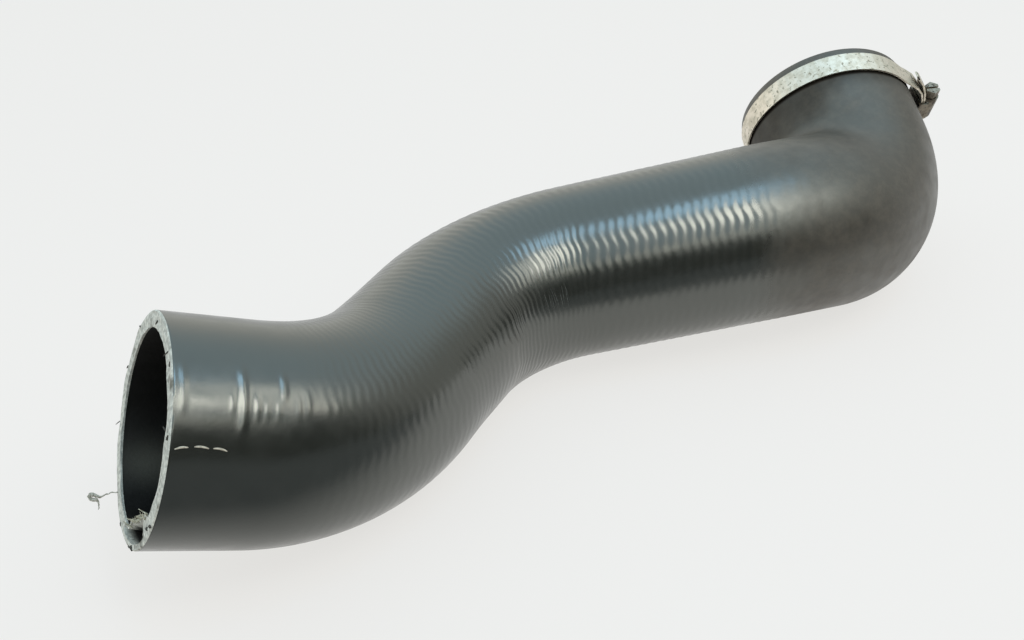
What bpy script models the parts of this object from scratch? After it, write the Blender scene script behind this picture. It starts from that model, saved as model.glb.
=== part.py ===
"""Charge air hose with a worm-drive clamp on its far cuff.

A moulded rubber hose lies on a flat surface. It has four bends, a wide
near cuff, a slimmer run and a slightly flared far cuff. A steel clamp sits
on the far cuff: a one-piece band whose tail passes under the screw, a
pressed housing and a slotted hexagon screw.

Metres, +Z up. The origin is at the middle of the footprint.
"""
import math

import bmesh
import bpy
from mathutils import Matrix, Vector

# Sizes of the hose.
NEAR_CUFF_OD = 0.0700
RUN_START_OD = 0.0640
RUN_END_OD = 0.0715
FAR_CUFF_OD = 0.0738
WALL = 0.0050
NEAR_CUFF_LENGTH = 0.0287
NEAR_TAPER_LENGTH = 0.0744
FAR_CUFF_LENGTH = 0.0289
FAR_FLARE_LENGTH = 0.0450

# Lay of the hose: where the near mouth is, and how it sets off.
NEAR_MOUTH = Vector((-0.17877, -0.01082, 0.05637))
HEADING = math.radians(-10.011)
PITCH = math.radians(-23.063)
FIRST_PLANE = math.radians(25.333)

# Bends in order: the straight before, the radius, the angle and the turn of
# the bend's plane against the one before. The fourth runs on from the third.
STRAIGHT_1 = 0.0291
RADIUS_1 = 0.0789
ANGLE_1 = math.radians(45.52)
STRAIGHT_2 = 0.0321
RADIUS_2 = 0.0713
ANGLE_2 = math.radians(53.83)
TURN_2 = math.radians(141.35)
STRAIGHT_3 = 0.0731
RADIUS_3 = 0.0599
ANGLE_3 = math.radians(33.11)
TURN_3 = math.radians(149.52)
RADIUS_4 = 0.0437
ANGLE_4 = math.radians(71.19)
TURN_4 = math.radians(66.99)
LAST_STRAIGHT = 0.0306

# Fineness of the hose and of the clamp's round pieces.
SIDES = 36
STEP_LENGTH = 0.0110
STEP_ANGLE = math.radians(8.5)
BAND_STEP = math.radians(6.0)
ARC_STEPS = 14
ROUND_SIDES = 24
SHARP_ANGLE = math.radians(40.0)
MERGE_DISTANCE = 0.000005

# Sizes of the clamp. The lift is how far its band stands off the hose by the screw.
# FLATS_ROOM keeps the gap under the flats of the faceted band. The tail bends up and
# narrows from shares of its length on.
GAP = 0.0003
FLATS_ROOM = 0.0001
BAND_WIDTH = 0.0095
BAND_THICKNESS = 0.0007
BAND_TO_RIM = 0.0041
BAND_TURN = math.radians(144.0)
LIFT = 0.0038
LIFT_START = math.radians(-30.0)
LIFT_TOP = math.radians(14.0)
LIFT_END = math.radians(38.0)
START_INSET = 0.00055
RISE_ANGLE = math.radians(22.0)
RISE_MARGIN = math.radians(4.0)
TAIL_LENGTH = 0.0125
TAIL_LIFT = 0.0022
TAIL_BEND_FROM = 0.20
TAIL_TAPER_FROM = 0.45
TAIL_TIP_WIDTH = 0.0041
SCREW_DIAMETER = 0.0060
HEX_ACROSS_FLATS = 0.0060
HEAD_LENGTH = 0.0040
COLLAR_DIAMETER = 0.0068
COLLAR_LENGTH = 0.0014
CORE_OVERLAP = 0.0007
SLOT_WIDTH = 0.0010
SLOT_DEPTH = 0.0016
HOUSING_LENGTH = 0.0110
HOUSING_WALL = 0.0008


def collection(name):
    """A new collection in the scene."""
    group = bpy.data.collections.new(name)
    bpy.context.scene.collection.children.link(group)
    return group


def material(name, colour, roughness, metallic=0.0):
    """A Principled material."""
    mat = bpy.data.materials.new(name)
    mat.use_nodes = True
    shader = mat.node_tree.nodes["Principled BSDF"]
    shader.inputs["Base Color"].default_value = (*colour, 1.0)
    shader.inputs["Roughness"].default_value = roughness
    shader.inputs["Metallic"].default_value = metallic
    mat.diffuse_color = (*colour, 1.0)
    return mat


def smooth_step(value):
    """Rises from 0 to 1 with level ends."""
    value = min(max(value, 0.0), 1.0)
    return value * value * (3.0 - 2.0 * value)


def centre_line():
    """Points of the hose's centre line, with their distance from the near mouth."""
    bends = (
        (STRAIGHT_1, RADIUS_1, ANGLE_1, FIRST_PLANE),
        (STRAIGHT_2, RADIUS_2, ANGLE_2, TURN_2),
        (STRAIGHT_3, RADIUS_3, ANGLE_3, TURN_3),
        (0.0, RADIUS_4, ANGLE_4, TURN_4),
        (LAST_STRAIGHT, 0.0, 0.0, 0.0),
    )
    point = NEAR_MOUTH.copy()
    ahead = Vector((
        math.cos(PITCH) * math.cos(HEADING),
        math.cos(PITCH) * math.sin(HEADING),
        math.sin(PITCH),
    ))
    side = Vector((0.0, 0.0, 1.0)).cross(ahead).normalized()
    travelled = 0.0
    stations = [(point.copy(), travelled)]
    for straight, radius, angle, turn in bends:
        steps = math.ceil(straight / STEP_LENGTH)
        for _ in range(steps):
            point = point + ahead * (straight / steps)
            travelled += straight / steps
            stations.append((point.copy(), travelled))
        if angle <= 0.0:
            continue
        side = Matrix.Rotation(turn, 3, ahead) @ side
        centre = point + side * radius
        axis = ahead.cross(side)
        steps = math.ceil(angle / STEP_ANGLE)
        arm = point - centre
        for k in range(1, steps + 1):
            swing = Matrix.Rotation(angle * k / steps, 3, axis)
            stations.append((centre + swing @ arm, travelled + radius * angle * k / steps))
        swing = Matrix.Rotation(angle, 3, axis)
        point = centre + swing @ arm
        ahead = (swing @ ahead).normalized()
        side = (swing @ side).normalized()
        travelled += radius * angle
    return stations, point, ahead, side


def hose_radius(distance, length):
    """Outer radius at a distance from the near mouth."""
    taper_end = NEAR_CUFF_LENGTH + NEAR_TAPER_LENGTH
    flare_start = length - FAR_CUFF_LENGTH - FAR_FLARE_LENGTH
    share = min(max((distance - taper_end) / (flare_start - taper_end), 0.0), 1.0)
    run = RUN_START_OD + (RUN_END_OD - RUN_START_OD) * share
    near = smooth_step((distance - NEAR_CUFF_LENGTH) / NEAR_TAPER_LENGTH)
    far = smooth_step((distance - flare_start) / FAR_FLARE_LENGTH)
    diameter = NEAR_CUFF_OD + (run - NEAR_CUFF_OD) * near
    diameter += (FAR_CUFF_OD - RUN_END_OD) * far
    return diameter / 2.0


def make_hose(group, mat):
    """The hose: a tube surface of changing diameter with its wall turned inwards."""
    stations, end, ahead, side = centre_line()
    length = stations[-1][1]
    data = bpy.data.curves.new("hose_line", "CURVE")
    data.dimensions = "3D"
    data.twist_mode = "MINIMUM"
    data.bevel_depth = 1.0
    data.bevel_resolution = (SIDES - 4) // 2
    data.use_fill_caps = False
    spline = data.splines.new("POLY")
    spline.points.add(len(stations) - 1)
    for item, (point, distance) in zip(spline.points, stations):
        item.co = (*point, 1.0)
        item.radius = hose_radius(distance, length)
    line = bpy.data.objects.new("hose_line", data)
    group.objects.link(line)
    bpy.context.view_layer.update()
    graph = bpy.context.evaluated_depsgraph_get()
    mesh = bpy.data.meshes.new_from_object(line.evaluated_get(graph))
    shell = bmesh.new()
    shell.from_mesh(mesh)
    bmesh.ops.remove_doubles(shell, verts=shell.verts, dist=MERGE_DISTANCE)
    bmesh.ops.recalc_face_normals(shell, faces=shell.faces)
    shell.to_mesh(mesh)
    shell.free()
    mesh.shade_smooth()
    mesh.set_sharp_from_angle(angle=SHARP_ANGLE)
    hose = bpy.data.objects.new("hose", mesh)
    hose.matrix_world = line.matrix_world
    group.objects.link(hose)
    bpy.data.objects.remove(line)
    mesh.materials.append(mat)
    wall = hose.modifiers.new("wall", "SOLIDIFY")
    wall.thickness = WALL
    wall.offset = -1.0
    wall.use_even_offset = True
    wall.use_rim = True
    return hose, end, ahead, side


def band_radius():
    """Inner radius of the band where it lies on the hose."""
    return FAR_CUFF_OD / 2.0 + GAP + FLATS_ROOM


def ply():
    """Radial step from the band's inner ply to the ply that lies over it."""
    return BAND_THICKNESS + GAP


def lift(angle):
    """How far the inner ply stands off the hose at an angle from the screw."""
    up = smooth_step((angle - LIFT_START) / (LIFT_TOP - LIFT_START))
    down = smooth_step((angle - LIFT_TOP) / (LIFT_END - LIFT_TOP))
    return LIFT * (up - down)


def seat_tilt():
    """Tilt of the screw and its housing, along the lifted band under them."""
    under = band_radius() + lift(0.0)
    reach = math.radians(0.5)
    slope = (lift(reach) - lift(-reach)) / (2.0 * reach) / under
    return math.atan(slope)


def ply_height(angle):
    """Height of the inner ply's inner face over the tilted seat."""
    radius = band_radius() + lift(angle)
    along = radius * math.cos(angle) - band_radius() - lift(0.0)
    return along * math.cos(seat_tilt()) - radius * math.sin(angle) * math.sin(seat_tilt())


def screw_height():
    """Distance of the screw's axis from the inner ply under it."""
    return ply() + BAND_THICKNESS + GAP + SCREW_DIAMETER / 2.0


def make_band(group, mat, seat):
    """The band: one turn round the cuff, its tail lying over its own start."""
    inner = band_radius()
    half = HOUSING_LENGTH / 2.0 / inner
    tail = TAIL_LENGTH / inner
    start = START_INSET / inner - half
    end = 2.0 * math.pi + half + tail
    steps = math.ceil((end - start) / BAND_STEP)
    rise_from = start + 2.0 * math.pi - RISE_MARGIN - RISE_ANGLE
    shape = bmesh.new()
    last = None
    for k in range(steps + 1):
        angle = start + (end - start) * k / steps
        lap = angle
        if angle > math.pi:
            lap = angle - 2.0 * math.pi
        over = smooth_step((angle - rise_from) / RISE_ANGLE)
        beyond = (angle - (2.0 * math.pi + half)) / tail
        radius = inner + lift(lap) + ply() * over
        radius += TAIL_LIFT * smooth_step((beyond - TAIL_BEND_FROM) / (1.0 - TAIL_BEND_FROM))
        narrow = smooth_step((beyond - TAIL_TAPER_FROM) / (1.0 - TAIL_TAPER_FROM))
        width = BAND_WIDTH + (TAIL_TIP_WIDTH - BAND_WIDTH) * narrow
        pair = []
        for level in (-width / 2.0, width / 2.0):
            pair.append(shape.verts.new((
                radius * math.cos(angle),
                radius * math.sin(angle),
                level,
            )))
        if last:
            shape.faces.new((last[0], pair[0], pair[1], last[1]))
        last = pair
    mesh = bpy.data.meshes.new("clamp_band")
    shape.to_mesh(mesh)
    shape.free()
    mesh.shade_smooth()
    mesh.set_sharp_from_angle(angle=SHARP_ANGLE)
    mesh.materials.append(mat)
    band = bpy.data.objects.new("clamp_band", mesh)
    group.objects.link(band)
    band.parent = seat
    thick = band.modifiers.new("thickness", "SOLIDIFY")
    thick.thickness = BAND_THICKNESS
    thick.offset = 1.0
    thick.use_even_offset = True
    return band


def housing_section(grow):
    """Section of the housing across the screw, grown outwards by a wall."""
    half = BAND_WIDTH / 2.0 + GAP + grow
    reach = HOUSING_LENGTH / 2.0 / band_radius()
    floor = min(ply_height(-reach), ply_height(reach)) - GAP - grow
    shoulder = ply() + BAND_THICKNESS + GAP + grow
    centre = screw_height()
    radius = SCREW_DIAMETER / 2.0 + GAP + grow
    points = [(floor, half), (shoulder, half)]
    lean = math.asin(min(1.0, max(-1.0, (shoulder - centre) / radius)))
    for k in range(ARC_STEPS + 1):
        angle = lean + (math.pi - 2.0 * lean) * k / ARC_STEPS
        points.append((centre + radius * math.sin(angle), radius * math.cos(angle)))
    points += [(shoulder, -half), (floor, -half)]
    return points


def make_housing(group, mat, seat):
    """The housing: a pressed sleeve round the band's plies and the screw."""
    data = bpy.data.curves.new("clamp_housing_section", "CURVE")
    data.dimensions = "2D"
    data.fill_mode = "BOTH"
    data.extrude = HOUSING_LENGTH / 2.0
    for grow in (HOUSING_WALL, 0.0):
        outline = housing_section(grow)
        spline = data.splines.new("POLY")
        spline.points.add(len(outline) - 1)
        spline.use_cyclic_u = True
        for item, (height, across) in zip(spline.points, outline):
            item.co = (height, across, 0.0, 1.0)
    drawn = bpy.data.objects.new("clamp_housing_section", data)
    group.objects.link(drawn)
    bpy.context.view_layer.update()
    graph = bpy.context.evaluated_depsgraph_get()
    mesh = bpy.data.meshes.new_from_object(drawn.evaluated_get(graph))
    shape = bmesh.new()
    shape.from_mesh(mesh)
    bmesh.ops.remove_doubles(shape, verts=shape.verts, dist=MERGE_DISTANCE)
    bmesh.ops.recalc_face_normals(shape, faces=shape.faces)
    shape.to_mesh(mesh)
    shape.free()
    bpy.data.objects.remove(drawn)
    mesh.materials.append(mat)
    housing = bpy.data.objects.new("clamp_housing", mesh)
    group.objects.link(housing)
    housing.parent = seat
    housing.rotation_euler = (math.radians(90.0), 0.0, 0.0)
    return housing


def prism_piece(name, group, radius, low, high, sides):
    """A straight cylinder or prism along +Z between two levels."""
    mesh = bpy.data.meshes.new(name)
    piece = bmesh.new()
    bmesh.ops.create_cone(
        piece, cap_ends=True, segments=sides, radius1=radius, radius2=radius,
        depth=high - low, matrix=Matrix.Translation((0.0, 0.0, (low + high) / 2.0)),
    )
    piece.to_mesh(mesh)
    piece.free()
    item = bpy.data.objects.new(name, mesh)
    group.objects.link(item)
    return item


def box_piece(name, group, size):
    """A box centred on its own origin."""
    mesh = bpy.data.meshes.new(name)
    piece = bmesh.new()
    bmesh.ops.create_cube(piece, size=1.0, matrix=Matrix.Diagonal((*size, 1.0)))
    piece.to_mesh(mesh)
    piece.free()
    item = bpy.data.objects.new(name, mesh)
    group.objects.link(item)
    return item


def use_cutter(target, cutter, operation):
    """Joins a hidden helper to a piece, or cuts it from the piece."""
    cutter.parent = target
    cutter.hide_render = True
    cutter.display_type = "WIRE"
    step = target.modifiers.new(cutter.name, "BOOLEAN")
    step.operation = operation
    step.solver = "EXACT"
    step.object = cutter


def make_screw(group, cutters, mat, seat):
    """The screw: a round core, a collar at one end, a slotted hexagon head at the other."""
    reach = HOUSING_LENGTH / 2.0 + GAP
    corner = HEX_ACROSS_FLATS / 2.0 / math.cos(math.pi / 6.0)
    screw = prism_piece("clamp_screw", group, corner, reach, reach + HEAD_LENGTH, 6)
    screw.data.materials.append(mat)
    screw.parent = seat
    screw.location = (screw_height(), 0.0, 0.0)
    screw.rotation_euler = (math.radians(-90.0), 0.0, 0.0)
    core = prism_piece(
        "screw_core", cutters, SCREW_DIAMETER / 2.0, -reach - CORE_OVERLAP,
        reach + CORE_OVERLAP, ROUND_SIDES,
    )
    collar = prism_piece(
        "screw_collar", cutters, COLLAR_DIAMETER / 2.0, -reach - COLLAR_LENGTH, -reach, ROUND_SIDES,
    )
    slot_length = 2.0 * corner + 2.0 * GAP
    slot = box_piece("screw_slot", cutters, (slot_length, SLOT_WIDTH, 2.0 * SLOT_DEPTH))
    slot.location = (0.0, 0.0, reach + HEAD_LENGTH)
    use_cutter(screw, core, "UNION")
    use_cutter(screw, collar, "UNION")
    use_cutter(screw, slot, "DIFFERENCE")
    return screw


def main():
    """Clears the scene and builds the hose and its clamp."""
    for item in list(bpy.data.objects):
        bpy.data.objects.remove(item, do_unlink=True)
    group = collection("charge_air_hose")
    cutters = collection("cutters")
    rubber = material("hose_rubber", (0.035, 0.037, 0.036), 0.42)
    zinc = material("band_zinc", (0.62, 0.62, 0.60), 0.38, 1.0)
    pressed = material("housing_steel", (0.22, 0.20, 0.18), 0.55, 1.0)
    screw_steel = material("screw_steel", (0.30, 0.27, 0.23), 0.50, 1.0)
    hose, end, ahead, side = make_hose(group, rubber)
    seat = bpy.data.objects.new("clamp_seat", None)
    group.objects.link(seat)
    out = (Matrix.Rotation(BAND_TURN, 3, ahead) @ side).normalized()
    inwards = -ahead
    frame = Matrix((out, inwards.cross(out), inwards)).transposed().to_4x4()
    frame.translation = end - ahead * (BAND_TO_RIM + BAND_WIDTH / 2.0)
    seat.matrix_world = frame
    make_band(group, zinc, seat)
    screw_seat = bpy.data.objects.new("screw_seat", None)
    group.objects.link(screw_seat)
    screw_seat.parent = seat
    screw_seat.location = (band_radius() + lift(0.0), 0.0, 0.0)
    screw_seat.rotation_euler = (0.0, 0.0, -seat_tilt())
    make_housing(group, pressed, screw_seat)
    make_screw(group, cutters, screw_steel, screw_seat)


main()
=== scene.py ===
"""Charge air hose on a pale floor: the finish of the hose and of its clamp.

Metres, +Z up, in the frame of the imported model. The hose is walked again from its
bend table, finer than in the solid, and carries the relief of the fabric under its skin.
"""

import math

import bpy
import numpy as np
from mathutils import Matrix, Vector


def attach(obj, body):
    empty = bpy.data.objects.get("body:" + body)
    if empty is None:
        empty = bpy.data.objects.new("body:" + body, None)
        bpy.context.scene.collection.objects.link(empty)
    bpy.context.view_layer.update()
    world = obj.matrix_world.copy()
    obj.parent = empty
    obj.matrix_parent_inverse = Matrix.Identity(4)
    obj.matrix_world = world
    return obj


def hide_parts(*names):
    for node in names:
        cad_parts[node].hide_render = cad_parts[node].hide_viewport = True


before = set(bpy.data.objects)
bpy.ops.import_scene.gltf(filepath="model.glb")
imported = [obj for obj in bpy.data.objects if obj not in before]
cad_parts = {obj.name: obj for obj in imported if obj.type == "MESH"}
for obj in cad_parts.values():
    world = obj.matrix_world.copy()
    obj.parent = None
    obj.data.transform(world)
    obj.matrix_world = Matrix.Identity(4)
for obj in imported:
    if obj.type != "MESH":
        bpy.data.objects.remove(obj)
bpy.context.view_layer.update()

# Camera: where it stands, its heading from +Y towards +X, its pitch and its roll.
CAMERA_PLACE = Vector((-0.22246, -0.28711, 0.23984))
CAMERA_HEADING = math.radians(32.100)
CAMERA_PITCH = math.radians(-31.065)
CAMERA_ROLL = math.radians(3.855)
SENSOR_WIDTH = 36.0
FOCAL_PIXELS = 1080.0
IMAGE_WIDTH = 1024.0

# Light: the surroundings' colours, and lamps with their place, sizes, roll, radiance
# and colour.
SKY_LOW = (1.05, 1.06, 1.00, 1.0)
SKY_HIGH = (0.80, 1.02, 1.14, 1.0)
SKY_FRONT = (0.05, 0.05, 0.047, 1.0)
LAMPS = (
    ("lamp_warm", (0.22, -0.75, 1.10), 0.42, 0.54, 20.0, 6.0, (1.0, 0.965, 0.87)),
    ("lamp_side", (0.607, -0.606, 0.830), 0.26, 0.54, 0.0, 2.25, (1.0, 0.95, 0.83)),
    ("lamp_blue", (0.24, -0.33, 1.38), 0.66, 0.34, 0.0, 3.3, (0.40, 0.70, 1.0)),
    ("lamp_front", (0.02, -1.30, 0.92), 0.90, 0.17, 0.0, 1.8, (1.0, 0.97, 0.84)),
)
LAMPS_AIM = (0.05, 0.0, 0.05)
BACKDROP = (0.85, 0.85, 0.85, 1.0)
FLOOR_COLOUR = (0.70, 0.68, 0.69, 1.0)
FLOOR_WHITE = (0.893, 0.882, 0.855, 1.0)
FLOOR_GLOW = 0.80

# Shiny pieces see the floor go dark between two distances, measured on the floor from
# the origin along a heading that is given like the camera's.
FLOOR_DIM_HEADING = math.radians(22.0)
FLOOR_DIM_FROM = 0.080
FLOOR_DIM_TO = 0.168
FLOOR_DIM_SHARE = 0.97
FLOOR_REACH = 6.0

# Sizes of the hose.
NEAR_CUFF_OD = 0.0700
RUN_START_OD = 0.0640
RUN_END_OD = 0.0715
FAR_CUFF_OD = 0.0738
WALL = 0.0050
NEAR_CUFF_LENGTH = 0.0287
NEAR_TAPER_LENGTH = 0.0744
FAR_CUFF_LENGTH = 0.0289
FAR_FLARE_LENGTH = 0.0450
NEAR_MOUTH = Vector((-0.17877, -0.01082, 0.05637))
HEADING = math.radians(-10.011)
PITCH = math.radians(-23.063)

# Bends in order: the straight before, the radius, the angle and the turn of its plane.
BENDS = (
    (0.0291, 0.0789, math.radians(45.52), math.radians(25.333)),
    (0.0321, 0.0713, math.radians(53.83), math.radians(141.35)),
    (0.0731, 0.0599, math.radians(33.11), math.radians(149.52)),
    (0.0, 0.0437, math.radians(71.19), math.radians(66.99)),
)
LAST_STRAIGHT = 0.0306

# Fineness of the hose. Stretches of the outer skin end at a distance and have a step,
# the inner skin and the end faces have a number of rings, and the end faces' outer
# edges are bevelled.
OUTER_STEPS = ((0.284, 0.00062), (0.364, 0.0022), (0.372, 0.0008), (0.3838, 0.0022))
EDGE = 0.00035
INNER_RINGS = 40
FACE_RINGS = 9
AROUND = 168

# Relief of the knitted fabric: the pitch of its ridges and its strength, both at
# distances from the near mouth, how many zigzags go round, how far the ridges zigzag,
# and how high they are.
KNIT_PITCH = (
    (0.0, 0.00275), (0.095, 0.00275), (0.130, 0.0039),
    (0.165, 0.0038), (0.230, 0.0036), (0.384, 0.0036),
)
KNIT_STRENGTH = (
    (0.0, 0.0), (0.034, 0.0), (0.050, 0.45), (0.100, 0.6),
    (0.135, 1.0), (0.260, 1.0), (0.284, 0.0), (0.384, 0.0),
)
ZIGZAGS = 21
ZIGZAG_REACH = 0.45
KNIT_HEIGHT = 0.00012

# Ripples of the near cuff: distance, half width, height, and the turns between which
# they stand. Each one's middle bows away from the mouth.
RIPPLE_BOW = 0.0007
RIPPLES = (
    (0.0025, 0.0007, 0.00012, 306.0, 338.0),
    (0.0158, 0.0005, 0.00014, 308.0, 322.0),
    (0.0190, 0.0010, 0.00026, 298.0, 336.0),
    (0.0228, 0.0006, 0.00016, 306.0, 322.0),
    (0.0255, 0.0005, 0.00012, 306.0, 320.0),
    (0.0288, 0.0005, 0.00012, 306.0, 320.0),
    (0.0304, 0.0007, 0.00026, 314.0, 334.0),
    (0.0338, 0.0005, 0.00012, 306.0, 322.0),
    (0.0364, 0.0006, 0.00014, 308.0, 326.0),
    (0.0415, 0.0006, 0.00012, 306.0, 320.0),
    (0.0443, 0.0006, 0.00012, 306.0, 320.0),
)

# Stitches that lie on the near cuff: from a distance and turn to another. They are
# thickest and highest in their middle, and their ends go into the rubber.
STITCH_RADII = (0.0001, 0.0003)
STITCH_RISE = 0.00012
STITCH_SUNK = 0.00008
STITCHES = (
    (0.0016, 293.2, 0.0052, 294.2),
    (0.0067, 294.6, 0.0107, 294.0),
    (0.0118, 294.2, 0.0157, 293.2),
)

# Fine scratches that run round the hose behind the first bend: the first one's place,
# the step to the next, the turns they span, their number, and their radii at the ends
# and in the middle.
SCRATCH_PLACE = 0.1570
SCRATCH_STEP = 0.0021
SCRATCH_TURNS = (289.0, 306.0)
SCRATCH_COUNT = 9
SCRATCH_RADII = (0.00003, 0.0001)

# Dust on the far elbow sets in between two distances, and covers a share of the rubber.
DUST_FROM = 0.248
DUST_FULL = 0.276
DUST_SHARE = 0.80

# Grime on the hose along the clamp band's inner edge: a faint stretch that reaches
# further between two turns; and a painted shade line, dark and dull, against the band.
GRIME_FROM = 0.3600
GRIME_AND_SHADE_TO = 0.3700
GRIME_WIDE = 0.030
GRIME_TURNS = (14.0, 118.0)
GRIME_SHARE = 0.42
PAINTED_SHADE_LINE = 0.0034

# Pale haze on the bore's wall: its middle, its turn, how far it reaches and its share.
HAZE_PLACE = 0.010
HAZE_TURN = 142.0
HAZE_LENGTH = 0.009
HAZE_SPAN = 13.0
HAZE_SHARE = 0.55

# Torn place at the foot of the near face: the turns of the pocket and of the liner
# that is lifted off, the pocket's place in the wall, and its depth. The liner is
# lifted by its rise at the mouth and lies against the wall again further in. The cut
# is wavy along the hose, and the liner's edge is frayed across it.
POCKET_TURNS = (184.0, 236.0)
FLAP_TURNS = (194.0, 252.0)
POCKET_FROM = 0.0019
POCKET_TO = 0.00445
POCKET_DEPTH = 0.0090
FACE_WAVE = 0.00018
LINER_FRAY = 0.0003
FLAP_RISE = 0.0042
FLAP_LENGTH = 0.012
FLAP_RINGS = (0.0007, 0.0015, 0.0025, 0.004, 0.006, 0.0085, 0.012)

# Yarn that hangs from the near face: where it leaves, and its places from there on.
YARN_TURN = 157.0
YARN_RADIUS = 0.0347
YARN = (
    (0.0012, -0.0006, 0.0004), (-0.0018, 0.0012, 0.0001), (-0.0036, 0.0020, -0.0004),
    (-0.0049, 0.0024, -0.0009), (-0.0057, 0.0033, -0.0004), (-0.0068, 0.0044, 0.0001),
    (-0.0078, 0.0046, -0.0004), (-0.0073, 0.0036, -0.0015), (-0.0060, 0.0027, -0.0015),
    (-0.0058, 0.0022, -0.0021), (-0.0061, 0.0015, -0.0033), (-0.0067, 0.0011, -0.0044),
)
YARN_RADII = (
    0.00024, 0.00018, 0.00022, 0.00034, 0.0005, 0.0007,
    0.0004, 0.0006, 0.0005, 0.0003, 0.0002, 0.0001,
)
YARN_STEPS = 6
YARN_WOBBLE = 0.00012

# Short fibres of the torn liner: how many, the turns between which they stand, the
# turns between which the liner is lifted highest, and the radii from foot to tip.
FIBRE_COUNT = 26
FIBRE_TURNS = (202.0, 248.0)
HIGH_TURNS = (208.0, 240.0)
FIBRE_RADII = (0.00022, 0.0002, 0.00016, 0.00012, 0.00006)

# Hairs and nicks on the edges of the near face: turn, radius, how far each stands
# outwards and forwards, and its thickness.
HAIRS = (
    (118.0, 0.0345, 0.0040, 0.0004, 0.00016),
    (87.0, 0.0346, 0.0005, 0.0002, 0.00026),
    (56.0, 0.0342, 0.0008, 0.0002, 0.00034),
    (16.0, 0.0322, -0.0012, 0.0002, 0.00034),
    (342.0, 0.0328, -0.0030, 0.0005, 0.00020),
    (332.0, 0.0334, 0.0008, 0.0002, 0.00036),
    (301.0, 0.0302, -0.0014, 0.0005, 0.00034),
    (297.0, 0.0328, 0.0010, 0.0002, 0.00042),
    (250.0, 0.0336, 0.0011, 0.0002, 0.00055),
    (244.0, 0.0322, 0.0012, 0.0002, 0.00050),
    (211.0, 0.0338, 0.0011, 0.0001, 0.00065),
    (204.0, 0.0343, 0.0004, 0.0001, 0.00030),
    (178.0, 0.0342, 0.0005, 0.0001, 0.00028),
)

# Slots of the clamp band, on the stretch that the screw drives: the band's middle and
# the turn of the screw on the cuff, the slots' pitch, length and slant, the turns from
# the screw between which they show, the radius beyond which the band's tail lies, and
# the painted shade that fills the slots.
BAND_MIDDLE = 0.3747
SCREW_TURN = math.radians(282.807)
SLOT_PITCH = 0.0031
SLOT_HALF_LENGTH = 0.0030
SLOT_SLANT = 0.18
SLOTTED_TURNS = (-78.0, -2.0)
TAIL_RADIUS = 0.0397
SLOT_SHADE_TONE = (0.012, 0.010, 0.008, 1.0)

# Rubber: two clean tones, its ridges, two dusty tones, and one tone for its grime and its
# painted shade line by the band, then the fineness and depth of its grain and weave, and
# its shine where clean, dusty, and grimy or under the painted shade line.
RUBBER_TONES = ((0.0095, 0.011, 0.009, 1.0), (0.017, 0.018, 0.015, 1.0))
RIDGE_TONE = (0.028, 0.028, 0.024, 1.0)
DUST_TONES = ((0.044, 0.034, 0.025, 1.0), (0.070, 0.055, 0.040, 1.0))
GRIME_AND_SHADE_TONE = (0.006, 0.005, 0.004, 1.0)
GRAIN_SCALE = 2400.0
GRAIN_DEPTH = 0.00002
WEAVE_SCALE = 520.0
WEAVE_DEPTH = 0.00005
RUBBER_IOR = 1.7
RUBBER_ROUGHNESS = (0.19, 0.26)
DUST_ROUGHNESS = 0.28
GRIME_AND_SHADE_ROUGHNESS = 0.30
RUBBER_SHEEN = 0.88
DUST_SHEEN_LOSS = 0.36
GRIME_AND_SHADE_SHEEN_LOSS = 0.80
RUBBER_TINT = (0.985, 1.0, 0.935, 1.0)

# Cut end: two tones, its smears, and the painted shade in the torn pocket.
CUT_TONES = ((0.38, 0.38, 0.34, 1.0), (0.68, 0.67, 0.60, 1.0))
SMEAR_TONE = (0.14, 0.135, 0.11, 1.0)
POCKET_SHADE_TONE = (0.012, 0.010, 0.008, 1.0)

# Bore: two tones, its haze and its roughness.
BORE_TONES = ((0.004, 0.004, 0.004, 1.0), (0.014, 0.013, 0.011, 1.0))
HAZE_TONE = (0.16, 0.15, 0.12, 1.0)
BORE_ROUGHNESS = (0.42, 0.62)

# Threads and scratches: a dark tone, a light tone and the roughness.
STITCH_FINISH = ((0.36, 0.32, 0.25, 1.0), (0.58, 0.53, 0.44, 1.0), 0.7)
SCRATCH_FINISH = ((0.045, 0.047, 0.042, 1.0), (0.11, 0.112, 0.10, 1.0), 0.5)
YARN_FINISH = ((0.26, 0.25, 0.20, 1.0), (0.50, 0.48, 0.42, 1.0), 0.8)
PALE_FIBRE_FINISH = ((0.30, 0.28, 0.20, 1.0), (0.60, 0.58, 0.46, 1.0), 0.8)
DARK_FIBRE_FINISH = ((0.020, 0.018, 0.014, 1.0), (0.07, 0.062, 0.05, 1.0), 0.8)

# Metals: a bright tone, a dull tone, the roughness of each, and the specks' tone.
BAND_FINISH = (
    (0.80, 0.73, 0.62, 1.0), (0.60, 0.55, 0.45, 1.0), 0.44, 0.58, (0.30, 0.27, 0.20, 1.0),
)
HOUSING_FINISH = (
    (0.20, 0.175, 0.135, 1.0), (0.08, 0.065, 0.05, 1.0), 0.35, 0.6, (0.03, 0.024, 0.018, 1.0),
)
SCREW_FINISH = (
    (0.36, 0.33, 0.27, 1.0), (0.15, 0.13, 0.10, 1.0), 0.34, 0.55, (0.04, 0.033, 0.025, 1.0),
)


def smooth_step(value):
    """Rises from 0 to 1 with level ends."""
    value = np.clip(value, 0.0, 1.0)
    return value * value * (3.0 - 2.0 * value)


def along_table(table, distance):
    """Value at a distance, read from pairs of distance and value."""
    return np.interp(distance, [pair[0] for pair in table], [pair[1] for pair in table])


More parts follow.
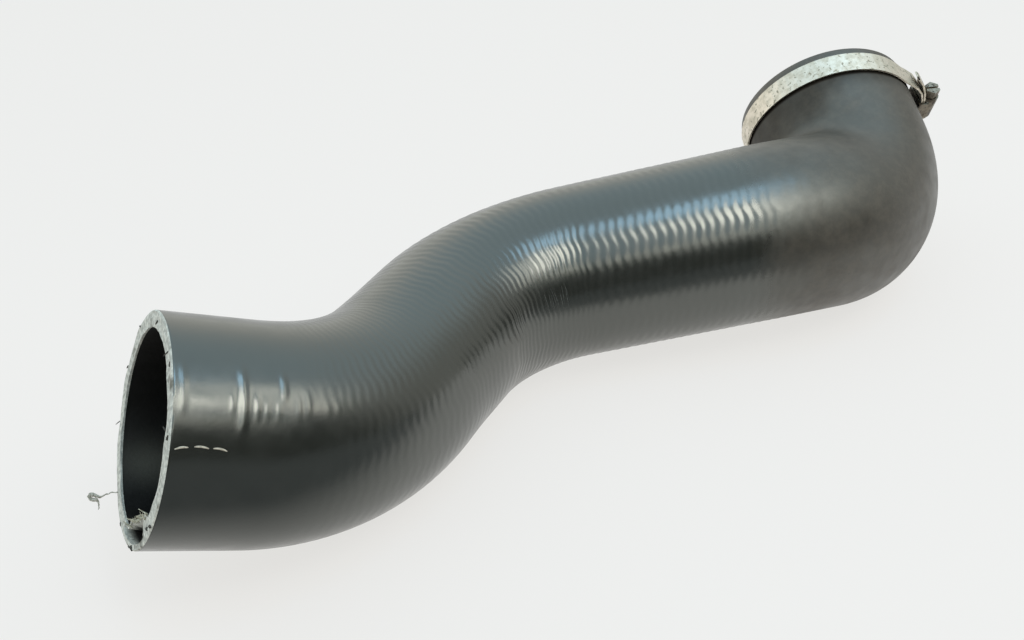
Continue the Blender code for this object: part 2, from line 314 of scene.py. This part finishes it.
class CentreLine:
    """The hose's centre line, with a frame that doesn't twist along it."""

    def __init__(self):
        ahead = Vector((
            math.cos(PITCH) * math.cos(HEADING),
            math.cos(PITCH) * math.sin(HEADING),
            math.sin(PITCH),
        ))
        side = Vector((0.0, 0.0, 1.0)).cross(ahead).normalized()
        top = ahead.cross(side).normalized()
        point = NEAR_MOUTH.copy()
        self.legs = []
        self.length = 0.0
        for straight, radius, angle, turn in BENDS + ((LAST_STRAIGHT, 0.0, 0.0, 0.0),):
            self.legs.append((self.length, point, ahead, top, None, 0.0))
            point = point + ahead * straight
            self.length += straight
            if angle <= 0.0:
                continue
            side = Matrix.Rotation(turn, 3, ahead) @ side
            axis = ahead.cross(side)
            centre = point + side * radius
            self.legs.append((self.length, point, ahead, top, (centre, axis), radius))
            swing = Matrix.Rotation(angle, 3, axis)
            point = centre + swing @ (point - centre)
            ahead = (swing @ ahead).normalized()
            side = (swing @ side).normalized()
            top = (swing @ top).normalized()
            self.length += radius * angle

    def at(self, distance):
        """Point, heading and top at a distance from the near mouth."""
        leg = self.legs[0]
        for item in self.legs:
            if item[0] <= distance + 1e-9:
                leg = item
        start, point, ahead, top, bend, radius = leg
        if bend is None:
            return point + ahead * (distance - start), ahead, top
        centre, axis = bend
        swing = Matrix.Rotation((distance - start) / radius, 3, axis)
        return centre + swing @ (point - centre), swing @ ahead, swing @ top


line = CentreLine()


def hose_radius(distance):
    """Outer radius at a distance from the near mouth."""
    taper_end = NEAR_CUFF_LENGTH + NEAR_TAPER_LENGTH
    flare_start = line.length - FAR_CUFF_LENGTH - FAR_FLARE_LENGTH
    share = np.clip((distance - taper_end) / (flare_start - taper_end), 0.0, 1.0)
    run = RUN_START_OD + (RUN_END_OD - RUN_START_OD) * share
    near = smooth_step((distance - NEAR_CUFF_LENGTH) / NEAR_TAPER_LENGTH)
    far = smooth_step((distance - flare_start) / FAR_FLARE_LENGTH)
    diameter = NEAR_CUFF_OD + (run - NEAR_CUFF_OD) * near
    return (diameter + (FAR_CUFF_OD - RUN_END_OD) * far) / 2.0


def outer_distances():
    """Distances of the outer skin's rings, close together where there is relief."""
    found = [EDGE]
    for end, step in OUTER_STEPS:
        end = min(end, line.length)
        count = max(1, round((end - found[-1]) / step))
        start = found[-1]
        found += [start + (end - start) * k / count for k in range(1, count + 1)]
    return found


def knit_phase(distance):
    """Number of ridges between the near mouth and a distance."""
    marks = np.linspace(0.0, line.length, 800)
    rate = 1.0 / along_table(KNIT_PITCH, marks)
    total = np.concatenate([[0.0], np.cumsum((rate[1:] + rate[:-1]) / 2.0 * np.diff(marks))])
    return np.interp(distance, marks, total)


def hose_profile():
    """Closed loop of distance, depth and zone: outer skin, far face, inner skin, near face."""
    length = line.length
    loop = [(distance, 0.0, "skin") for distance in outer_distances()]
    loop[-1] = (length - EDGE, 0.0, "skin")
    loop += [(length, EDGE + (WALL - EDGE) * k / FACE_RINGS, "far_face") for k in range(FACE_RINGS)]
    loop += [(length * (1.0 - k / INNER_RINGS), WALL, "bore") for k in range(INNER_RINGS - 1)]
    loop += [(distance, WALL, "bore") for distance in reversed(FLAP_RINGS)]
    loop += [(0.0, WALL, "bore")]
    loop += [(0.0, WALL - (WALL - EDGE) * k / FACE_RINGS, "near_face") for k in range(1, FACE_RINGS + 1)]
    return loop


def waves(distance, angles, length, turns, seed):
    """Smooth wandering between -1 and 1 over the hose's surface."""
    along = 2.0 * np.pi * distance / length
    total = 0.5 * np.sin(along + turns * angles + seed)
    total = total + 0.3 * np.sin(1.7 * along - (turns + 2) * angles + 2.3 * seed)
    return total + 0.2 * np.sin(2.9 * along + (2 * turns + 3) * angles + 4.1 * seed)


def knit_ridge(distance, angles):
    """Height of the knit's ridges, from 0 to 1, at a distance and all turns."""
    turn = ZIGZAGS * angles / (2.0 * np.pi) + 0.10 * waves(distance, angles, 0.047, 3, 1.0)
    zigzag = np.arcsin(0.93 * np.sin(2.0 * np.pi * turn)) / np.pi
    phase = knit_phase(distance) + ZIGZAG_REACH * zigzag
    phase = phase + 0.06 * waves(distance, angles, 0.029, 3, 2.0)
    return smooth_step((np.cos(2.0 * np.pi * phase) + 0.85) / 1.75)


def ripple_height(distance, angles):
    """Height of the near cuff's ripples at a distance and all turns."""
    degrees = np.degrees(angles)
    total = np.zeros_like(angles)
    for place, width, height, first, last in RIPPLES:
        bow = RIPPLE_BOW * np.cos(np.radians((degrees - (first + last) / 2.0) * 180.0 / (last - first)))
        inside = smooth_step((degrees - first) / 7.0) * smooth_step((last - degrees) / 7.0)
        total += height * inside * np.exp(-((distance - place - bow) / width) ** 2)
    return total


def between(angles, turns, edge=9.0):
    """1 between two turns and 0 elsewhere, with ragged ends."""
    degrees = np.degrees(angles) + 3.0 * np.sin(9.0 * angles) + 2.0 * np.sin(23.0 * angles + 1.0)
    return smooth_step((degrees - turns[0]) / edge) * smooth_step((turns[1] - degrees) / edge)


def flap_lift(distance, angles):
    """How far the torn liner is lifted off the wall at a distance and all turns."""
    ragged = 0.82 + 0.18 * np.sin(31.0 * angles) * np.sin(13.0 * angles + 0.5)
    back = 1.0 - smooth_step(distance / FLAP_LENGTH)
    return FLAP_RISE * between(angles, FLAP_TURNS, 16.0) * ragged * back


class Graph:
    """Short calls for building a material's nodes."""

    def __init__(self, tree):
        self.tree = tree

    def node(self, kind, inputs=(), **settings):
        """A node with its settings, and inputs by name or number."""
        made = self.tree.nodes.new(kind)
        for name, value in settings.items():
            setattr(made, name, value)
        for name, value in dict(inputs).items():
            socket = made.inputs[name]
            if isinstance(value, bpy.types.NodeSocket):
                self.tree.links.new(value, socket)
            else:
                socket.default_value = value
        return made

    def math(self, operation, first, second=0.0, third=0.0):
        """A Math node's result."""
        made = self.node("ShaderNodeMath", {0: first, 1: second, 2: third}, operation=operation)
        return made.outputs[0]

    def span(self, value, low, high, out_low=0.0, out_high=1.0):
        """A value mapped smoothly from one span to another."""
        made = self.node(
            "ShaderNodeMapRange", {0: value, 1: low, 2: high, 3: out_low, 4: out_high},
            interpolation_type="SMOOTHSTEP",
        )
        return made.outputs[0]

    def noise(self, vector, scale, detail=2.0, roughness=0.5):
        """A Noise node's value."""
        inputs = {"Vector": vector, "Scale": scale, "Detail": detail, "Roughness": roughness}
        return self.node("ShaderNodeTexNoise", inputs).outputs["Fac"]

    def blend(self, factor, first, second):
        """Two colours mixed by a factor."""
        made = self.node("ShaderNodeMix", {0: factor, 6: first, 7: second}, data_type="RGBA")
        return made.outputs[2]

    def attribute(self, name):
        """A value stored on the mesh."""
        return self.node("ShaderNodeAttribute", attribute_name=name).outputs["Fac"]

    def vector_math(self, operation, first, second, output="Vector"):
        """A Vector Math node's result."""
        made = self.node("ShaderNodeVectorMath", {0: first, 1: second}, operation=operation)
        return made.outputs[output]

    def place(self):
        """Position on the object."""
        return self.node("ShaderNodeTexCoord").outputs["Object"]


def new_material(name):
    """An empty material with its graph and its Principled shader."""
    mat = bpy.data.materials.new(name)
    mat.use_nodes = True
    graph = Graph(mat.node_tree)
    shader = mat.node_tree.nodes["Principled BSDF"]
    return mat, graph, shader


def rubber_material():
    """Satin black rubber: a mottled tone, paler ridges, dust, grime, and a painted shade line by the clamp
    band.
    """
    mat, graph, shader = new_material("hose_rubber")
    links = mat.node_tree.links
    place = graph.place()
    ridge = graph.attribute("ridge")
    dust = graph.attribute("dust")
    grime_and_shade = graph.attribute("grime_and_shade")
    grain_bump = graph.node("ShaderNodeBump", {
        "Height": graph.noise(place, GRAIN_SCALE, 3.0, 0.6), "Distance": GRAIN_DEPTH, "Strength": 0.5,
    })
    weave_bump = graph.node("ShaderNodeBump", {
        "Height": graph.noise(place, WEAVE_SCALE, 2.0, 0.5), "Distance": WEAVE_DEPTH, "Strength": 0.4,
        "Normal": grain_bump.outputs[0],
    })
    links.new(weave_bump.outputs[0], shader.inputs["Normal"])
    cloud = graph.noise(place, 38.0, 4.0, 0.6)
    dust = graph.math("MULTIPLY", dust, graph.span(cloud, 0.25, 0.75, 0.65, 1.2))
    clean = graph.blend(graph.noise(place, 90.0, 4.0, 0.65), *RUBBER_TONES)
    clean = graph.blend(graph.math("MULTIPLY", ridge, 0.4), clean, RIDGE_TONE)
    streak = graph.span(graph.noise(place, 260.0, 4.0, 0.7), 0.35, 0.7)
    colour = graph.blend(dust, clean, graph.blend(streak, *DUST_TONES))
    # Grime, and the painted shade line along the band's edge, darken the colour here.
    links.new(graph.blend(grime_and_shade, colour, GRIME_AND_SHADE_TONE), shader.inputs["Base Color"])
    rough = graph.span(graph.noise(place, 150.0, 3.0), 0.3, 0.7, *RUBBER_ROUGHNESS)
    rough = graph.math("ADD", rough, graph.math("MULTIPLY", dust, DUST_ROUGHNESS))
    rough = graph.math("ADD", rough, graph.math("MULTIPLY", grime_and_shade, GRIME_AND_SHADE_ROUGHNESS))
    links.new(rough, shader.inputs["Roughness"])
    # Less shine under grime and under the painted shade line by the band.
    sheen = graph.math("SUBTRACT", RUBBER_SHEEN, graph.math("MULTIPLY", dust, DUST_SHEEN_LOSS))
    sheen = graph.math("SUBTRACT", sheen, graph.math("MULTIPLY", grime_and_shade, GRIME_AND_SHADE_SHEEN_LOSS))
    links.new(sheen, shader.inputs["Specular IOR Level"])
    shader.inputs["IOR"].default_value = RUBBER_IOR
    shader.inputs["Specular Tint"].default_value = RUBBER_TINT
    return mat


def cut_material():
    """Pale cut end of the wall, with painted shade in the torn pocket."""
    mat, graph, shader = new_material("cut_end")
    links = mat.node_tree.links
    place = graph.place()
    fine = graph.noise(place, 700.0, 4.0, 0.6)
    colour = graph.blend(graph.span(fine, 0.35, 0.7), *CUT_TONES)
    smear = graph.span(graph.noise(place, 160.0, 3.0), 0.57, 0.70)
    colour = graph.blend(smear, colour, SMEAR_TONE)
    # The torn pocket is painted dark as shade.
    torn_and_shade = graph.span(graph.attribute("torn_and_shade"), 0.08, 0.40)
    links.new(graph.blend(torn_and_shade, colour, POCKET_SHADE_TONE), shader.inputs["Base Color"])
    shader.inputs["Roughness"].default_value = 0.75
    bump = graph.node("ShaderNodeBump", {"Height": fine, "Distance": 0.0004})
    links.new(bump.outputs[0], shader.inputs["Normal"])
    return mat


def fibre_material(name, dark, light, rough):
    """Thread, loose fibre or scratched rubber in two tones."""
    mat, graph, shader = new_material(name)
    links = mat.node_tree.links
    place = graph.place()
    strands = graph.noise(place, 1500.0, 3.0, 0.6)
    links.new(graph.blend(graph.span(strands, 0.35, 0.65), dark, light), shader.inputs["Base Color"])
    bump = graph.node("ShaderNodeBump", {"Height": strands, "Distance": 0.0002})
    links.new(bump.outputs[0], shader.inputs["Normal"])
    shader.inputs["Roughness"].default_value = rough
    return mat


def bore_material():
    """Inside of the hose: plain dark rubber with a pale haze in one place."""
    mat, graph, shader = new_material("bore_rubber")
    links = mat.node_tree.links
    place = graph.place()
    cloud = graph.noise(place, 70.0, 4.0, 0.6)
    plain = graph.blend(cloud, *BORE_TONES)
    links.new(graph.blend(graph.attribute("haze"), plain, HAZE_TONE), shader.inputs["Base Color"])
    links.new(graph.span(cloud, 0.3, 0.7, *BORE_ROUGHNESS), shader.inputs["Roughness"])
    shader.inputs["Specular IOR Level"].default_value = 0.25
    bump = graph.node("ShaderNodeBump", {"Height": graph.noise(place, 700.0), "Distance": 0.0001})
    links.new(bump.outputs[0], shader.inputs["Normal"])
    return mat


def metal_material(name, bright, dull, low, high, speck):
    """Weathered zinc or steel: a mottled tone with dark specks."""
    mat, graph, shader = new_material(name)
    links = mat.node_tree.links
    place = graph.place()
    cloud = graph.span(graph.noise(place, 260.0, 5.0, 0.65), 0.35, 0.68)
    colour = graph.blend(cloud, bright, dull)
    dots = graph.span(graph.noise(place, 620.0, 2.0), 0.60, 0.68)
    colour = graph.blend(dots, colour, speck)
    links.new(colour, shader.inputs["Base Color"])
    links.new(graph.math("MULTIPLY_ADD", dots, -0.8, 1.0), shader.inputs["Metallic"])
    links.new(graph.span(cloud, 0.0, 1.0, low, high), shader.inputs["Roughness"])
    bump = graph.node("ShaderNodeBump", {"Height": cloud, "Distance": 0.00006})
    links.new(bump.outputs[0], shader.inputs["Normal"])
    return mat


def ring_form(distance, depth, zone, angles):
    """Radius, shift along the hose, ridge, and the torn pocket's share, which also carries its painted
    shade, of a ring at all turns.
    """
    radius = np.full(AROUND, float(hose_radius(distance)) - depth)
    along = np.zeros(AROUND)
    ridge = np.zeros(AROUND)
    torn_and_shade = np.zeros(AROUND)
    if zone == "skin":
        strength = along_table(KNIT_STRENGTH, distance)
        patchy = 0.78 + 0.22 * waves(distance, angles, 0.061, 2, 3.0)
        ridge = strength * patchy * knit_ridge(distance, angles)
        radius += KNIT_HEIGHT * ridge + ripple_height(distance, angles)
    if zone == "bore":
        radius -= flap_lift(distance, angles)
    if zone == "near_face" or (zone == "bore" and distance < 1e-6):
        along = FACE_WAVE * waves(depth, angles, 0.004, 9, 1.5)
        across = smooth_step((depth - POCKET_FROM) / 0.0005) * smooth_step((POCKET_TO - depth) / 0.0004)
        # This share shapes the pocket and also paints its shade.
        torn_and_shade = between(angles, POCKET_TURNS) * across
        along += POCKET_DEPTH * torn_and_shade
        inner = smooth_step((depth - POCKET_TO + LINER_FRAY) / LINER_FRAY)
        radius -= LINER_FRAY * inner * np.abs(waves(0.0, angles, 1.0, 17, 0.7))
        if zone == "near_face":
            radius -= inner * flap_lift(0.0, angles)
    return radius, along, ridge, torn_and_shade


def ring_stains(distance, zone, angles):
    """Dust, grime with the painted shade line by the clamp band, and haze of a ring at all turns."""
    share = smooth_step((distance - DUST_FROM) / (DUST_FULL - DUST_FROM))
    dust = np.full(AROUND, DUST_SHARE * share)
    grime_and_shade = np.zeros(AROUND)
    if zone == "skin" and distance < BAND_MIDDLE:
        start = GRIME_FROM - GRIME_WIDE * between(angles, GRIME_TURNS, 26.0)
        faint = GRIME_SHARE * smooth_step((distance - start) / (GRIME_AND_SHADE_TO - start))
        # The dark line against the band is painted shade.
        grime_and_shade = np.maximum(faint, smooth_step((distance - GRIME_AND_SHADE_TO) / PAINTED_SHADE_LINE + 1.0))
    degrees = np.degrees(angles)
    off = ((distance - HAZE_PLACE) / HAZE_LENGTH) ** 2 + ((degrees - HAZE_TURN) / HAZE_SPAN) ** 2
    return dust, grime_and_shade, HAZE_SHARE * np.exp(-off)


def dress_zones(mesh, loop):
    """Gives the hose's faces the material of their zone."""
    for mat in (rubber_material(), cut_material(), bore_material()):
        mesh.materials.append(mat)
    slots = {"skin": 0, "far_face": 0, "bore": 2, "near_face": 1}
    zones = [slots[item[2]] for item in loop]
    last_bore = max(k for k, item in enumerate(loop) if item[2] == "bore")
    zones[last_bore] = slots["near_face"]
    zones[last_bore - 1] = slots["near_face"]
    mesh.polygons.foreach_set("material_index", np.repeat(zones, AROUND))


def make_hose():
    """The hose as one closed mesh, with the knit's relief, the tear and the dust on it."""
    loop = hose_profile()
    angles = 2.0 * np.pi * np.arange(AROUND) / AROUND
    rows = []
    stored = {"ridge": [], "dust": [], "torn_and_shade": [], "grime_and_shade": [], "haze": []}
    for distance, depth, zone in loop:
        point, ahead, top = line.at(distance)
        side = top.cross(ahead)
        ring = np.outer(np.cos(angles), top) + np.outer(np.sin(angles), side)
        radius, along, ridge, torn_and_shade = ring_form(distance, depth, zone, angles)
        dust, grime_and_shade, haze = ring_stains(distance, zone, angles)
        rows.append(np.array(point) + radius[:, None] * ring + np.outer(along, ahead))
        for name, values in zip(stored, (ridge, dust, torn_and_shade, grime_and_shade, haze)):
            stored[name].append(values)
    count = len(loop)
    below = np.repeat(np.arange(count), AROUND)
    turn = np.tile(np.arange(AROUND), count)
    above = (below + 1) % count
    following = (turn + 1) % AROUND
    faces = np.stack([
        below * AROUND + turn, above * AROUND + turn,
        above * AROUND + following, below * AROUND + following,
    ], axis=1)
    mesh = bpy.data.meshes.new("hose_skin")
    mesh.from_pydata(np.concatenate(rows).tolist(), [], faces.tolist())
    for name, values in stored.items():
        layer = mesh.attributes.new(name, "FLOAT", "POINT")
        layer.data.foreach_set("value", np.concatenate(values))
    dress_zones(mesh, loop)
    mesh.shade_smooth()
    mesh.set_sharp_from_angle(angle=math.radians(50.0))
    skin = bpy.data.objects.new("hose_skin", mesh)
    bpy.context.scene.collection.objects.link(skin)
    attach(skin, "hose_body")
    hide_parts("hose")


def on_hose(distance, degrees, rise):
    """A point over the hose's skin at a distance and turn."""
    point, ahead, top = line.at(distance)
    side = top.cross(ahead)
    turn = math.radians(degrees)
    outward = top * math.cos(turn) + side * math.sin(turn)
    return point + outward * (float(hose_radius(distance)) + rise)


def on_face(degrees, radius, rise):
    """A point before the near face at a turn and radius from its middle."""
    point, ahead, top = line.at(0.0)
    side = top.cross(ahead)
    turn = math.radians(degrees)
    return point + (top * math.cos(turn) + side * math.sin(turn)) * radius - ahead * rise


def make_tube(name, points, radii, mat, around=8):
    """A thread along points, with a radius at each, closed at both ends."""
    points = [Vector(point) for point in points]
    mesh = bpy.data.meshes.new(name)
    verts, faces = [], []
    normal = None
    for k, point in enumerate(points):
        ahead = (points[min(k + 1, len(points) - 1)] - points[max(k - 1, 0)]).normalized()
        if normal is None:
            normal = ahead.orthogonal().normalized()
        normal = (normal - ahead * normal.dot(ahead)).normalized()
        across = ahead.cross(normal)
        for j in range(around):
            turn = 2.0 * math.pi * j / around
            verts.append(point + (normal * math.cos(turn) + across * math.sin(turn)) * radii[k])
    for k in range(len(points) - 1):
        for j in range(around):
            following = (j + 1) % around
            faces.append((
                k * around + j, k * around + following,
                (k + 1) * around + following, (k + 1) * around + j,
            ))
    faces.append(tuple(reversed(range(around))))
    faces.append(tuple(range((len(points) - 1) * around, len(points) * around)))
    mesh.from_pydata([tuple(vert) for vert in verts], [], faces)
    mesh.shade_smooth()
    mesh.materials.append(mat)
    thread = bpy.data.objects.new(name, mesh)
    bpy.context.scene.collection.objects.link(thread)
    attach(thread, "hose_body")


def make_stitches(mat):
    """Short pale stitches on the near cuff."""
    end_radius, middle_radius = STITCH_RADII
    for number, (first, turn_1, last, turn_2) in enumerate(STITCHES, start=1):
        points, radii = [], []
        for step in range(11):
            share = step / 10
            arch = math.sin(math.pi * share)
            turn = turn_1 + (turn_2 - turn_1) * share + 0.5 * arch
            points.append(on_hose(first + (last - first) * share, turn, STITCH_RISE * arch - STITCH_SUNK))
            radii.append(end_radius + (middle_radius - end_radius) * max(arch, 0.0) ** 0.5)
        make_tube("stitch_%d" % number, points, radii, mat)


def make_scratches(mat):
    """Fine pale scratches, each a hair's width, that run round the hose."""
    end_radius, middle_radius = SCRATCH_RADII
    for number in range(SCRATCH_COUNT):
        place = SCRATCH_PLACE + SCRATCH_STEP * number + 0.0004 * math.sin(3.0 * number)
        first = SCRATCH_TURNS[0] + 5.0 * ((number * 0.618) % 1.0)
        last = SCRATCH_TURNS[1] - 6.0 * ((number * 0.377) % 1.0)
        points, radii = [], []
        for step in range(13):
            share = step / 12
            slant = 0.0012 * share * math.sin(1.3 * number)
            points.append(on_hose(place + slant, first + (last - first) * share, 0.00004))
            radii.append(end_radius + (middle_radius - end_radius) * math.sin(math.pi * share))
        make_tube("scratch_%d" % (number + 1), points, radii, mat, 6)


def make_yarn(mat):
    """Frayed yarn with a knot, hanging from the edge of the near face."""
    start = on_face(YARN_TURN, YARN_RADIUS, 0.0)
    knots = [start + Vector(step) for step in YARN]
    points, radii = [], []
    for k in range(len(knots) - 1):
        for step in range(YARN_STEPS):
            share = step / YARN_STEPS
            run = k + share
            wobble = Vector((
                0.0, YARN_WOBBLE * math.sin(9.0 * run), YARN_WOBBLE * math.cos(7.0 * run),
            ))
            points.append(knots[k].lerp(knots[k + 1], share) + wobble)
            radius = YARN_RADII[k] + (YARN_RADII[k + 1] - YARN_RADII[k]) * share
            radii.append(radius * (0.8 + 0.35 * math.sin(5.0 * run) ** 2))
    make_tube("yarn", points, radii, mat)


def make_fuzz(pale, dark):
    """Short fibres that stand out of the torn liner and of the face's edges."""
    for number in range(FIBRE_COUNT):
        turn = FIBRE_TURNS[0] + (FIBRE_TURNS[1] - FIBRE_TURNS[0]) * ((number * 0.618) % 1.0)
        lift = FLAP_RISE * (0.9 if HIGH_TURNS[0] < turn < HIGH_TURNS[1] else 0.5)
        radius = NEAR_CUFF_OD / 2.0 - WALL - lift + 0.0008
        lean = math.sin(2.7 * number)
        length = 0.0012 + 0.0016 * ((number * 0.377) % 1.0)
        points = []
        for share in (0.0, 0.25, 0.5, 0.75, 1.0):
            bent = turn + 5.0 * lean * share * share
            points.append(on_face(bent, radius - length * 0.55 * share, -0.0002 + length * share))
        make_tube("fibre_%02d" % number, points, FIBRE_RADII, pale, 6)
    for number, (turn, radius, out, rise, thick) in enumerate(HAIRS, start=1):
        points = [
            on_face(turn + 2.0 * share, radius + out * share, rise * share)
            for share in (0.0, 0.5, 1.0)
        ]
        make_tube("hair_%d" % number, points, (thick, thick * 0.9, thick * 0.4), dark, 6)


def slot_mask(graph, place):
    """1 in the clamp band's slots and 0 elsewhere."""
    middle, ahead, top = line.at(BAND_MIDDLE)
    screwward = top * math.cos(SCREW_TURN) + top.cross(ahead) * math.sin(SCREW_TURN)
    away = graph.vector_math("SUBTRACT", place, tuple(middle))
    outward = graph.vector_math("DOT_PRODUCT", away, tuple(screwward), "Value")
    around = graph.vector_math("DOT_PRODUCT", away, tuple(screwward.cross(ahead)), "Value")
    across = graph.vector_math("DOT_PRODUCT", away, tuple(ahead), "Value")
    angle = graph.math("ARCTAN2", around, outward)
    run = graph.math("MULTIPLY", angle, FAR_CUFF_OD / 2.0 / SLOT_PITCH)
    run = graph.math("ADD", run, graph.math("MULTIPLY", across, SLOT_SLANT / SLOT_PITCH))
    wave = graph.math("ABSOLUTE", graph.math("SUBTRACT", graph.math("FRACT", run), 0.5))
    slot = graph.span(wave, 0.15, 0.20, 1.0, 0.0)
    inside = graph.span(graph.math("ABSOLUTE", across), 0.9 * SLOT_HALF_LENGTH, SLOT_HALF_LENGTH, 1.0, 0.0)
    slot = graph.math("MULTIPLY", slot, inside)
    first, last = (math.radians(turn) for turn in SLOTTED_TURNS)
    under = graph.math(
        "MULTIPLY", graph.span(angle, first, first + 0.01), graph.span(angle, last - 0.01, last, 1.0, 0.0),
    )
    squares = graph.math("ADD", graph.math("POWER", outward, 2.0), graph.math("POWER", around, 2.0))
    tail = graph.span(graph.math("SQRT", squares), TAIL_RADIUS, TAIL_RADIUS + 0.0003)
    return graph.math("MULTIPLY", slot, graph.math("MAXIMUM", under, tail))


def add_slots(mat):
    """Paints shade into the band's slots and sinks them in its material."""
    graph = Graph(mat.node_tree)
    links = mat.node_tree.links
    shader = mat.node_tree.nodes["Principled BSDF"]
    mask = slot_mask(graph, graph.place())
    colour = shader.inputs["Base Color"].links[0].from_socket
    # Painted shade fills the slots.
    links.new(graph.blend(mask, colour, SLOT_SHADE_TONE), shader.inputs["Base Color"])
    metallic = shader.inputs["Metallic"].links[0].from_socket
    bare = graph.span(mask, 0.0, 1.0, 1.0, 0.0)
    links.new(graph.math("MULTIPLY", metallic, bare), shader.inputs["Metallic"])
    bump = shader.inputs["Normal"].links[0].from_node
    sink = graph.node("ShaderNodeBump", {
        "Height": mask, "Distance": 0.0006, "Normal": bump.outputs[0],
    }, invert=True)
    links.new(sink.outputs[0], shader.inputs["Normal"])


def dress_clamp():
    """Better materials on the clamp's own solids."""
    zinc = metal_material("band_zinc", *BAND_FINISH)
    add_slots(zinc)
    pressed = metal_material("housing_steel", *HOUSING_FINISH)
    screw = metal_material("screw_steel", *SCREW_FINISH)
    for name, mat in (("clamp_band", zinc), ("clamp_housing", pressed), ("clamp_screw", screw)):
        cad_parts[name].material_slots[0].material = mat


def make_camera():
    """The camera, with its heading, its pitch and its roll."""
    level = Vector((math.cos(CAMERA_HEADING), -math.sin(CAMERA_HEADING), 0.0))
    ahead = Vector((
        math.cos(CAMERA_PITCH) * math.sin(CAMERA_HEADING),
        math.cos(CAMERA_PITCH) * math.cos(CAMERA_HEADING),
        math.sin(CAMERA_PITCH),
    ))
    right = Matrix.Rotation(CAMERA_ROLL, 3, ahead) @ level
    data = bpy.data.cameras.new("camera")
    data.sensor_width = SENSOR_WIDTH
    data.lens = SENSOR_WIDTH * FOCAL_PIXELS / IMAGE_WIDTH
    data.clip_start = 0.01
    camera = bpy.data.objects.new("camera", data)
    bpy.context.scene.collection.objects.link(camera)
    matrix = Matrix((right, right.cross(ahead), -ahead)).transposed().to_4x4()
    matrix.translation = CAMERA_PLACE
    camera.matrix_world = matrix
    bpy.context.scene.camera = camera


def make_floor():
    """A wide pale floor under the hose."""
    mesh = bpy.data.meshes.new("floor")
    corners = [(x * FLOOR_REACH, y * FLOOR_REACH, 0.0) for x, y in ((-1, -1), (1, -1), (1, 1), (-1, 1))]
    mesh.from_pydata(corners, [], [(0, 1, 2, 3)])
    floor = bpy.data.objects.new("floor", mesh)
    bpy.context.scene.collection.objects.link(floor)
    mat, graph, shader = new_material("floor_paper")
    shader.inputs["Base Color"].default_value = FLOOR_COLOUR
    shader.inputs["Roughness"].default_value = 0.8
    shader.inputs["Specular IOR Level"].default_value = 0.2
    glow = graph.node("ShaderNodeEmission", {"Color": FLOOR_WHITE})
    share = graph.node("ShaderNodeMixShader", {0: FLOOR_GLOW, 1: shader.outputs[0], 2: glow.outputs[0]})
    nearer = (-math.sin(FLOOR_DIM_HEADING), -math.cos(FLOOR_DIM_HEADING), 0.0)
    near = graph.vector_math("DOT_PRODUCT", graph.place(), nearer, "Value")
    dim = graph.span(near, FLOOR_DIM_FROM, FLOOR_DIM_TO, 0.0, FLOOR_DIM_SHARE)
    shiny = graph.node("ShaderNodeLightPath").outputs["Is Glossy Ray"]
    strength = graph.math("SUBTRACT", 1.0, graph.math("MULTIPLY", shiny, dim))
    mat.node_tree.links.new(strength, glow.inputs["Strength"])
    output = mat.node_tree.nodes["Material Output"]
    mat.node_tree.links.new(share.outputs[0], output.inputs["Surface"])
    mesh.materials.append(mat)


def make_world():
    """Soft surroundings: cool overhead, pale all round, dark low in front."""
    world = bpy.data.worlds.new("studio")
    bpy.context.scene.world = world
    world.use_nodes = True
    graph = Graph(world.node_tree)
    background = world.node_tree.nodes["Background"]
    direction = graph.node("ShaderNodeTexCoord").outputs["Generated"]
    parts = graph.node("ShaderNodeSeparateXYZ", {0: direction})
    height = parts.outputs[2]
    front = graph.math("MULTIPLY", parts.outputs[1], -1.0)
    colour = graph.blend(graph.span(height, 0.25, 0.80), SKY_LOW, SKY_HIGH)
    low = graph.span(height, 0.34, 0.72, 1.0, 0.0)
    facing = graph.span(front, 0.30, 0.80)
    colour = graph.blend(graph.math("MULTIPLY", low, facing), colour, SKY_FRONT)
    side = graph.math("MULTIPLY", graph.span(parts.outputs[0], 0.55, 0.95), low)
    colour = graph.blend(graph.math("MULTIPLY", side, 0.55), colour, SKY_FRONT)
    seen = graph.node("ShaderNodeLightPath").outputs["Is Camera Ray"]
    colour = graph.blend(seen, colour, BACKDROP)
    world.node_tree.links.new(colour, background.inputs["Color"])
    background.inputs["Strength"].default_value = 1.0


def area_light(name, place, aim, width, depth, roll, radiance, colour):
    """A rectangular lamp whose face has a given radiance."""
    data = bpy.data.lights.new(name, "AREA")
    data.shape = "RECTANGLE"
    data.size = width
    data.size_y = depth
    data.energy = radiance * math.pi * width * depth
    data.color = colour
    lamp = bpy.data.objects.new(name, data)
    bpy.context.scene.collection.objects.link(lamp)
    away = (Vector(place) - Vector(aim)).normalized()
    across = Vector((1.0, 0.0, 0.0))
    upright = away.cross(across).normalized()
    upright = Matrix.Rotation(math.radians(roll), 3, away) @ upright
    matrix = Matrix((upright.cross(away), upright, away)).transposed().to_4x4()
    matrix.translation = place
    lamp.matrix_world = matrix


make_camera()
make_world()
for lamp, place, width, depth, roll, radiance, colour in LAMPS:
    area_light(lamp, place, LAMPS_AIM, width, depth, roll, radiance, colour)
make_floor()
make_hose()
make_stitches(fibre_material("stitch_thread", *STITCH_FINISH))
make_scratches(fibre_material("scratched_rubber", *SCRATCH_FINISH))
make_yarn(fibre_material("yarn_thread", *YARN_FINISH))
make_fuzz(
    fibre_material("pale_fibre", *PALE_FIBRE_FINISH),
    fibre_material("dark_fibre", *DARK_FIBRE_FINISH),
)
dress_clamp()
bpy.context.scene.view_settings.view_transform = "Standard"
